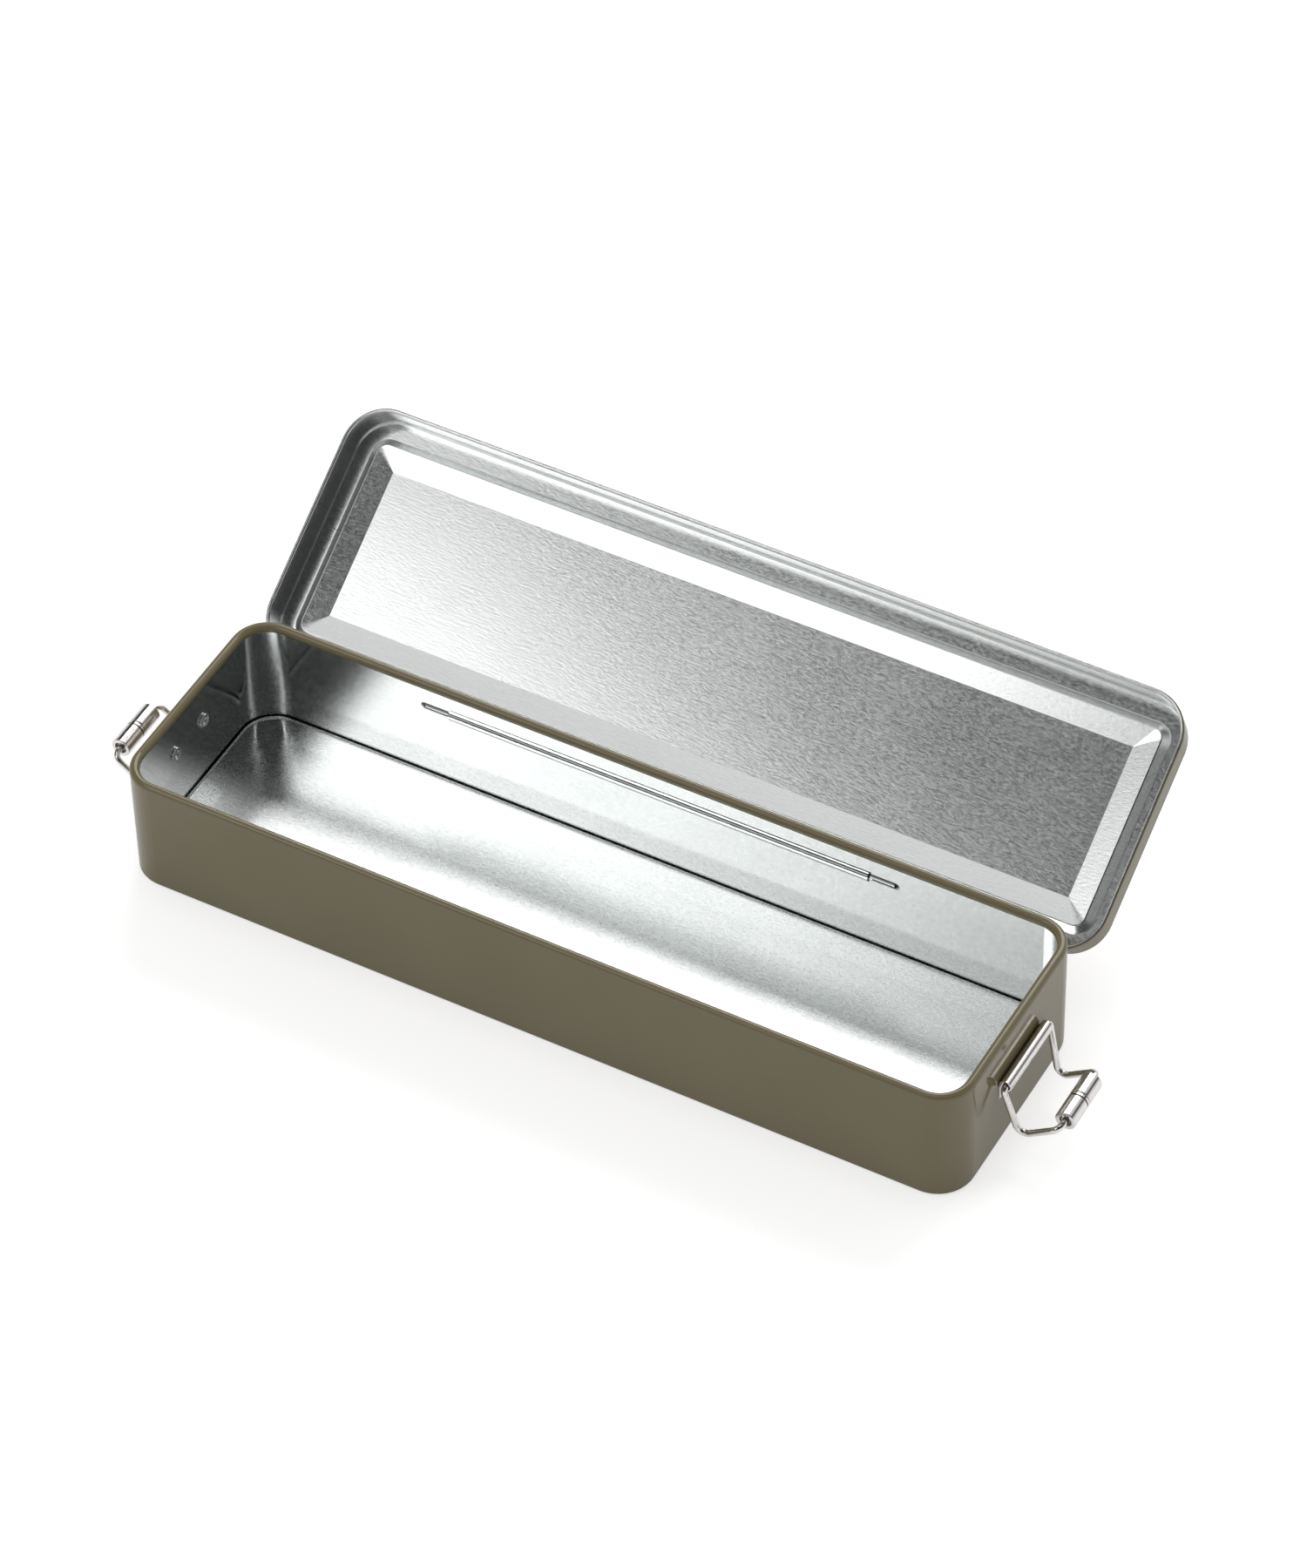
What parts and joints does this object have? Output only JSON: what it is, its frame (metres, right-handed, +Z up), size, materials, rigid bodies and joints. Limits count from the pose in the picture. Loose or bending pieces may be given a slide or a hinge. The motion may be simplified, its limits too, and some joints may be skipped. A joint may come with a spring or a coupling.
{
  "type": "hinged tin with bail catches",
  "caption": "Long shallow tin with a curled rim, a pressed lid on a wire hinge, and a wire bail with a split roller at each end that snaps over the lid.",
  "frame": {"origin": "middle of the base panel's underside, where the closed tin stands on a table", "axes": "+X along the length to the right-hand end, +Y towards the hinge, +Z up"},
  "size_m": [0.2902, 0.1379, 0.0637],
  "materials": {
    "paint": "glossy olive-grey enamel over tinplate, bright tinplate inside",
    "tinplate": "bright tinplate with a fine rolling grain",
    "wire": "bright drawn wire",
    "nickel": "nickel plated, polished"
  },
  "bodies": {
    "body": {"body_wall": "paint", "base_panel": "tinplate", "hinge_wire": "wire", "left_catch_plate": "nickel", "right_catch_plate": "nickel", "left_rivets": "nickel", "right_rivets": "nickel"},
    "lid": {"lid": "tinplate"},
    "left_bail": {"left_bail": "nickel", "left_roller_ring": "nickel"},
    "right_bail": {"right_bail": "nickel", "right_roller_ring": "nickel"},
    "left_front_sleeve": {"left_front_sleeve": "nickel"},
    "left_rear_sleeve": {"left_rear_sleeve": "nickel"},
    "right_front_sleeve": {"right_front_sleeve": "nickel"},
    "right_rear_sleeve": {"right_rear_sleeve": "nickel"}
  },
  "joints": [
    {"name": "lid_hinge", "type": "hinge", "parent": "body", "child": "lid", "pos_m": [0, 0.03575, 0.02625], "axis": [1, 0, 0], "range_deg": [0, 147.6]},
    {"name": "left_bail_hinge", "type": "hinge", "parent": "body", "child": "left_bail", "pos_m": [-0.12705, 0, 0.02395], "axis": [0, 1, 0], "range_deg": [-16, 152]},
    {"name": "left_front_sleeve_spin", "type": "hinge", "parent": "left_bail", "child": "left_front_sleeve", "pos_m": [-0.14222, 0, 0.01468], "axis": [0, 1, 0], "continuous": true},
    {"name": "left_rear_sleeve_spin", "type": "hinge", "parent": "left_bail", "child": "left_rear_sleeve", "pos_m": [-0.14222, 0, 0.01468], "axis": [0, 1, 0], "continuous": true},
    {"name": "right_bail_hinge", "type": "hinge", "parent": "body", "child": "right_bail", "pos_m": [0.12705, 0, 0.02395], "axis": [0, -1, 0], "range_deg": [-16, 152]},
    {"name": "right_front_sleeve_spin", "type": "hinge", "parent": "right_bail", "child": "right_front_sleeve", "pos_m": [0.14222, 0, 0.01468], "axis": [0, 1, 0], "continuous": true},
    {"name": "right_rear_sleeve_spin", "type": "hinge", "parent": "right_bail", "child": "right_rear_sleeve", "pos_m": [0.14222, 0, 0.01468], "axis": [0, 1, 0], "continuous": true}
  ]
}
